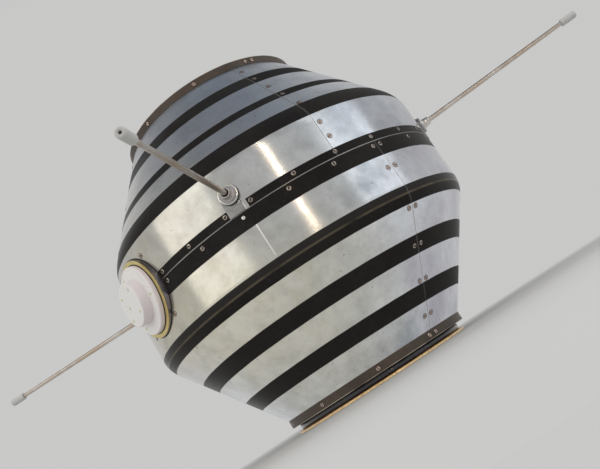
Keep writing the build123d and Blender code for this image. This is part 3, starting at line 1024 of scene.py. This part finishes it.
seal_model = shaped("seal", SEAL_OUTLINE, 48, black_seal_and_shade)
lip_model = shaped("lip", LIP_OUTLINE, 64, lip_bright)
cup_model = shaped("cup", CUP_OUTLINE, 48, cup_bright, recess_painted_shade)
# Painted shade: the bore at the top of each cup is coloured dark
wear_second(cup_model, lambda centre: centre.xy.length < CUP_BORE and centre.z > CUP_BORE_START)
rod_model = shaped("rod", ROD_OUTLINE, 40, rod_steel)
# Painted shade: the ring round each joint dot is coloured dark
dot_model = shaped("dot", DOT_OUTLINE, 20, recess_painted_shade, lip_bright)
wear_second(dot_model, lambda centre: centre.xy.length < DOT_EDGE)
cap_model = shaped("cap", CAP_OUTLINE, 40, cap_grey, black_seal_and_shade)
# Painted shade: the dimple in the end of each cap is coloured black
wear_second(cap_model, lambda centre: centre.xy.length < DIMPLE_RADIUS and centre.z > DIMPLE_START)
antenna_screw = screw_head(lip_bright, lip_bright)
for number, azimuth in enumerate(ANTENNA_AZIMUTHS, start=1):
    wear(nodes[f"antenna_bracket_{number}"], bracket_grey)
    wear(nodes[f"antenna_socket_{number}"], socket_grey)
    foot = along_antenna(azimuth)
    # A thin black seal ring under each disc, which also paints the shadow line below the disc's edge
    seal = repeated(f"antenna_seal_shade_ring_{number}", seal_model, [foot])
    lip = repeated(f"antenna_disc_lip_{number}", lip_model, [foot])
    cup = repeated(f"antenna_cup_turned_{number}", cup_model, [foot])
    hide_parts(f"antenna_cup_{number}")
    rod = repeated(f"antenna_rod_polished_{number}", rod_model, [foot])
    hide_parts(f"antenna_rod_{number}")
    cap = repeated(f"antenna_cap_{number}", cap_model, [along_antenna(azimuth, ROD_END)])
    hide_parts(f"antenna_tip_{number}")
    screw_spot = on_shell(azimuth, *BRACKET_SCREW, BRACKET_SLOT_TURN * number)
    screw_spot = screw_spot @ offset(0, BRACKET_THICKNESS) @ Matrix.Scale(BRACKET_SCREW_SCALE, 4)
    plate_screw = repeated(f"bracket_screw_{number}", antenna_screw, [screw_spot])
    dot = repeated(f"joint_dot_rivet_{number}", dot_model, [on_shell(azimuth, DOT_HEIGHT)])
    for piece in (seal, lip, cup, rod, cap, plate_screw, dot):
        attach(piece, "root")
discard(seal_model, lip_model, cup_model, rod_model, dot_model, cap_model, antenna_screw)


# Port: a dark polished ring cut to the belt, a gold washer, and two white discs with soft edges. Thin
# black rings of painted shade lie in the gap lines between washer and disc and round the ring's foot, and
# filler closes the screw pockets in the discs.
PORT_HEIGHT = JOINT_STRIP[0]
PORT_FACE = 0.2780
WASHER_THICKNESS = 0.0016
LARGE_THICKNESS = 0.0075
SMALL_THICKNESS = 0.015
LARGE_WALL = 0.0505
SMALL_WALL = (0.0322, 0.0345)
LARGE_FACE = PORT_FACE + WASHER_THICKNESS + LARGE_THICKNESS
SMALL_FACE = LARGE_FACE + SMALL_THICKNESS
GAP_SHADE_OUTLINE = ((51.5, 0.0), (53.1, 0.0), (53.4, 0.3), (53.1, 0.7), (51.5, 0.7))
FOOT_OUTLINE = ((60.0, 262.0), (60.9, 262.0), (60.9, 285.0), (60.0, 285.0))
BELT_SKIN = ((276.3, 210.0), (277.0, 210.0), (277.0, 345.0), (276.3, 345.0))
POCKET_OUTLINE = ((0.0, -0.3), (2.4, -0.3), (2.4, 0.05), (2.1, 0.14), (0.0, 0.18))
SMALL_POCKETS = ((25.0, 45), (25.0, 135), (25.0, 225), (25.0, 315), (8.0, 100))
LARGE_POCKETS = ((43.0, 20), (43.0, 140), (43.0, 260))


def at_port(reach, radius=0.0, angle=0.0):
    """A place on the port, facing out, at a reach from the body's axis; angle 0 is upwards."""
    centre = offset(reach, PORT_HEIGHT) @ Matrix.Rotation(math.pi / 2, 4, "Y")
    return about_z(-90) @ centre @ about_z(angle + 180) @ offset(radius / 1000, 0)


def disc_finish():
    """White enamel with painted lilac shade on the side walls, fine orange peel and a few handling marks.
    """
    finish = Finish("white_disc_enamel")
    x, y, height = finish.axes()
    up = height - PORT_HEIGHT
    radius = (x * x + up * up).math("SQRT")
    on_small = 1 - y.above(-LARGE_FACE, 0.0006)
    # Painted shade: the side walls of both discs are coloured a darker lilac than their faces
    wall = radius.above(LARGE_WALL, 0.0012) + radius.between(*SMALL_WALL, 0.0010) * on_small
    cloud = finish.noise(22.0, 4.0, 0.6)
    peel = finish.noise(420.0, 2.0)
    marks = finish.noise(3.0, 5.0, stretch=(40.0, 40.0, 200.0)).above(0.66, 0.06)
    white = finish.mix(cloud.above(0.5, 0.5), (0.90, 0.89, 0.86), (0.86, 0.845, 0.84))
    white = finish.mix(wall, white, (0.84, 0.77, 0.79))
    return finish.dress(
        Base_Color=finish.mix(marks * 0.35, white, (0.58, 0.55, 0.51)),
        Roughness=0.28 + cloud * 0.14 + marks * 0.1,
        Coat_Weight=0.2,
        Normal=finish.bump(peel, 0.06, 0.0003),
    )


wear(nodes["port_ring"], turned_finish("dark_polished_port_ring", (0.26, 0.24, 0.26), 0.10))
wear(nodes["port_washer"], turned_finish("golden_washer", (0.93, 0.77, 0.34), 0.24))
disc_white = disc_finish()
for name in ("port_disc_large", "port_disc_small"):
    wear(nodes[name], disc_white)
# Painted shade: a thin black ring in the gap line between washer and large disc
washer_gap_shade = shaped("port_washer_gap_shade", GAP_SHADE_OUTLINE, 96, black_seal_and_shade)
placed(washer_gap_shade, at_port(PORT_FACE + WASHER_THICKNESS))
# Painted shade: a thin black strip along the gap line where the ring meets the belt
foot_line = placed(turned("port_foot_painted_shade", FOOT_OUTLINE, 160), at_port(0))
skin = turned("belt_skin", BELT_SKIN, 360)
modified(foot_line, "BOOLEAN", object=skin, operation="INTERSECT", solver="EXACT")
discard(skin)
wear(smoothed(foot_line), black_seal_and_shade)
filler = coated_finish("pocket_filler", (0.62, 0.64, 0.40), 0.5, (0.50, 0.52, 0.32))
pocket_model = shaped("pocket", POCKET_OUTLINE, 20, filler)
pocket_places = [at_port(SMALL_FACE, *spot) for spot in SMALL_POCKETS]
pocket_places += [at_port(LARGE_FACE, *spot) for spot in LARGE_POCKETS]
pockets = repeated("filled_disc_pockets", pocket_model, pocket_places)
discard(pocket_model)
for piece in (washer_gap_shade, foot_line, pockets):
    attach(piece, "root")


# Top cap: pressed metal cover inside the upper rim, with a sunken middle and a ring of screws. It
# is out of sight in the photograph and follows the plain closed ends of this type of body.
CAP_TOP = 526.8
TOP_OUTLINE = (
    (0.0, 517.0), (147.0, 517.0), (147.0, 523.0), (146.2, 525.2), (143.8, 526.6), (141.0, CAP_TOP),
    (124.0, CAP_TOP), (121.0, 526.2), (118.5, 524.2), (115.0, 523.6), (40.0, 523.6), (37.0, 524.0),
    (34.5, 525.4), (31.0, 525.8), (0.0, 525.8),
)
TOP_SCREW_RADIUS = 0.1325
TOP_SCREWS = 12
TOP_SLOT_TURN = 1.1

cap_metal = turned_finish("plain_cap_metal", (0.74, 0.75, 0.75), 0.26, tarnish=0.78)
top_cap = shaped("top_cap_pressed", TOP_OUTLINE, 160, cap_metal)
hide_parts("top_cap")
top_model = screw_head(screw_bronze, screw_bronze)
top_places = []
for index in range(TOP_SCREWS):
    spot = about_z(360 * index / TOP_SCREWS) @ offset(TOP_SCREW_RADIUS, CAP_TOP / 1000)
    top_places.append(spot @ Matrix.Rotation(index * TOP_SLOT_TURN, 4, "Z"))
top_screws = repeated("top_cap_screws", top_model, top_places)
discard(top_model)
for piece in (top_cap, top_screws):
    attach(piece, "root")


# Floor and background: one pale floor that keeps the shadow near the body and fades into an equally
# pale background further out, so that no horizon shows. The metal reflects the same paleness, and
# overhead a dimmer ceiling, as in any room.
PALE_FLOOR = (0.57, 0.57, 0.56)
FLOOR_SHINE = (0.80, 0.80, 0.79)
PALE_BACKGROUND = (0.58, 0.58, 0.575)
DIM_CEILING = (0.24, 0.26, 0.29)
CEILING_START = 0.78
CEILING_SOFT = 0.34
NEAR_REFLECTION = 0.62
FADE_START = 0.42
FADE_LENGTH = 0.7
WORLD_LIGHT = 0.72

bpy.ops.mesh.primitive_plane_add(size=30, location=(0, 0, 0))
floor = bpy.context.object
floor.name = "pale_floor"
floor_finish = Finish("pale_floor")
fade = ((floor_finish.from_axis() - FADE_START) / FADE_LENGTH).math("ADD", 0.0, clamp=True)
camera_ray, glossy_ray = floor_finish.rays()
in_metal = glossy_ray * (NEAR_REFLECTION + fade * (1 - NEAR_REFLECTION))
seen = (camera_ray * fade + in_metal).math("ADD", 0.0, clamp=True)
paleness = floor_finish.mix(fade, FLOOR_SHINE, PALE_BACKGROUND)
glow = floor_finish.add("Emission", {"Color": paleness, "Strength": 1.0})
floor_finish.dress(Base_Color=PALE_FLOOR, Roughness=0.7)
shaded = Value(floor_finish, floor_finish.shader.outputs["BSDF"])
mixed = floor_finish.add("MixShader", {0: seen, 1: shaded, 2: glow})
floor_finish.put(floor_finish.tree.nodes["Material Output"].inputs["Surface"], mixed)
wear(floor, floor_finish.material)
floor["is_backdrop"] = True

world = bpy.data.worlds.new("pale_background")
bpy.context.scene.world = world
sky = Finish("pale_background", world)
camera_ray, glossy_ray = sky.rays()
upward = sky.axes()[2]
lit = sky.add("Background", {"Color": (1.0, 1.0, 1.0), "Strength": WORLD_LIGHT})
overhead = sky.mix(upward.above(CEILING_START, CEILING_SOFT), PALE_BACKGROUND, DIM_CEILING)
seen_sky = sky.add("Background", {"Color": overhead, "Strength": 1.0})
looked_at = camera_ray.math("MAXIMUM", glossy_ray)
sky_mix = sky.add("MixShader", {0: looked_at, 1: lit, 2: seen_sky})
sky.put(sky.tree.nodes["World Output"].inputs["Surface"], sky_mix)


# Lamps: two large soft ones, and one tall narrow one that draws the bright streak down the belt.
# Each is a name, a place, the size across and up, a power in watts, and a colour.
LAMPS = (
    ("soft_key", (0.2, -3.0, 1.9), (2.6, 2.6), 17.0, (1.0, 0.95, 0.84)),
    ("soft_fill", (2.7, 1.6, 1.5), (2.2, 2.2), 10.0, (0.93, 0.97, 1.0)),
    ("tall_strip", (2.115, -0.832, 0.87), (0.04, 1.6), 2.5, (1.0, 0.80, 0.60)),
)
LAMP_AIM = Vector((0, 0, 0.28))

for name, spot, size, power, tint in LAMPS:
    lamp_data = bpy.data.lights.new(name, "AREA")
    lamp_data.shape = "RECTANGLE"
    lamp_data.size, lamp_data.size_y = size
    lamp_data.energy = power
    lamp_data.color = tint
    lamp = bpy.data.objects.new(name, lamp_data)
    bpy.context.collection.objects.link(lamp)
    lamp.location = spot
    lamp.rotation_euler = (LAMP_AIM - Vector(spot)).to_track_quat("-Z", "Y").to_euler()


# Camera: close to the floor, where the photograph looks up from below, on the side between the port
# and the first seam. It is rolled as the photograph is, so that the body leans to the right.
CAMERA_AZIMUTH = -37.4
CAMERA_REACH = 1.150
CAMERA_HEIGHT = 0.020
CAMERA_AIM = Vector((0.0101, 0.0133, 0.2715))
CAMERA_ROLL = -33.1
FOCAL_PIXELS = 707.9
IMAGE_WIDTH = 600

eye = about_z(CAMERA_AZIMUTH) @ Vector((CAMERA_REACH, 0, CAMERA_HEIGHT))
camera_data = bpy.data.cameras.new("low_view")
camera_data.lens = FOCAL_PIXELS / IMAGE_WIDTH * camera_data.sensor_width
camera = bpy.data.objects.new("low_view", camera_data)
bpy.context.collection.objects.link(camera)
look = (CAMERA_AIM - eye).to_track_quat("-Z", "Y").to_matrix().to_4x4()
camera.matrix_world = Matrix.Translation(eye) @ look @ about_z(CAMERA_ROLL)
bpy.context.scene.camera = camera
bpy.context.scene.view_settings.view_transform = "Standard"

low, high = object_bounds()
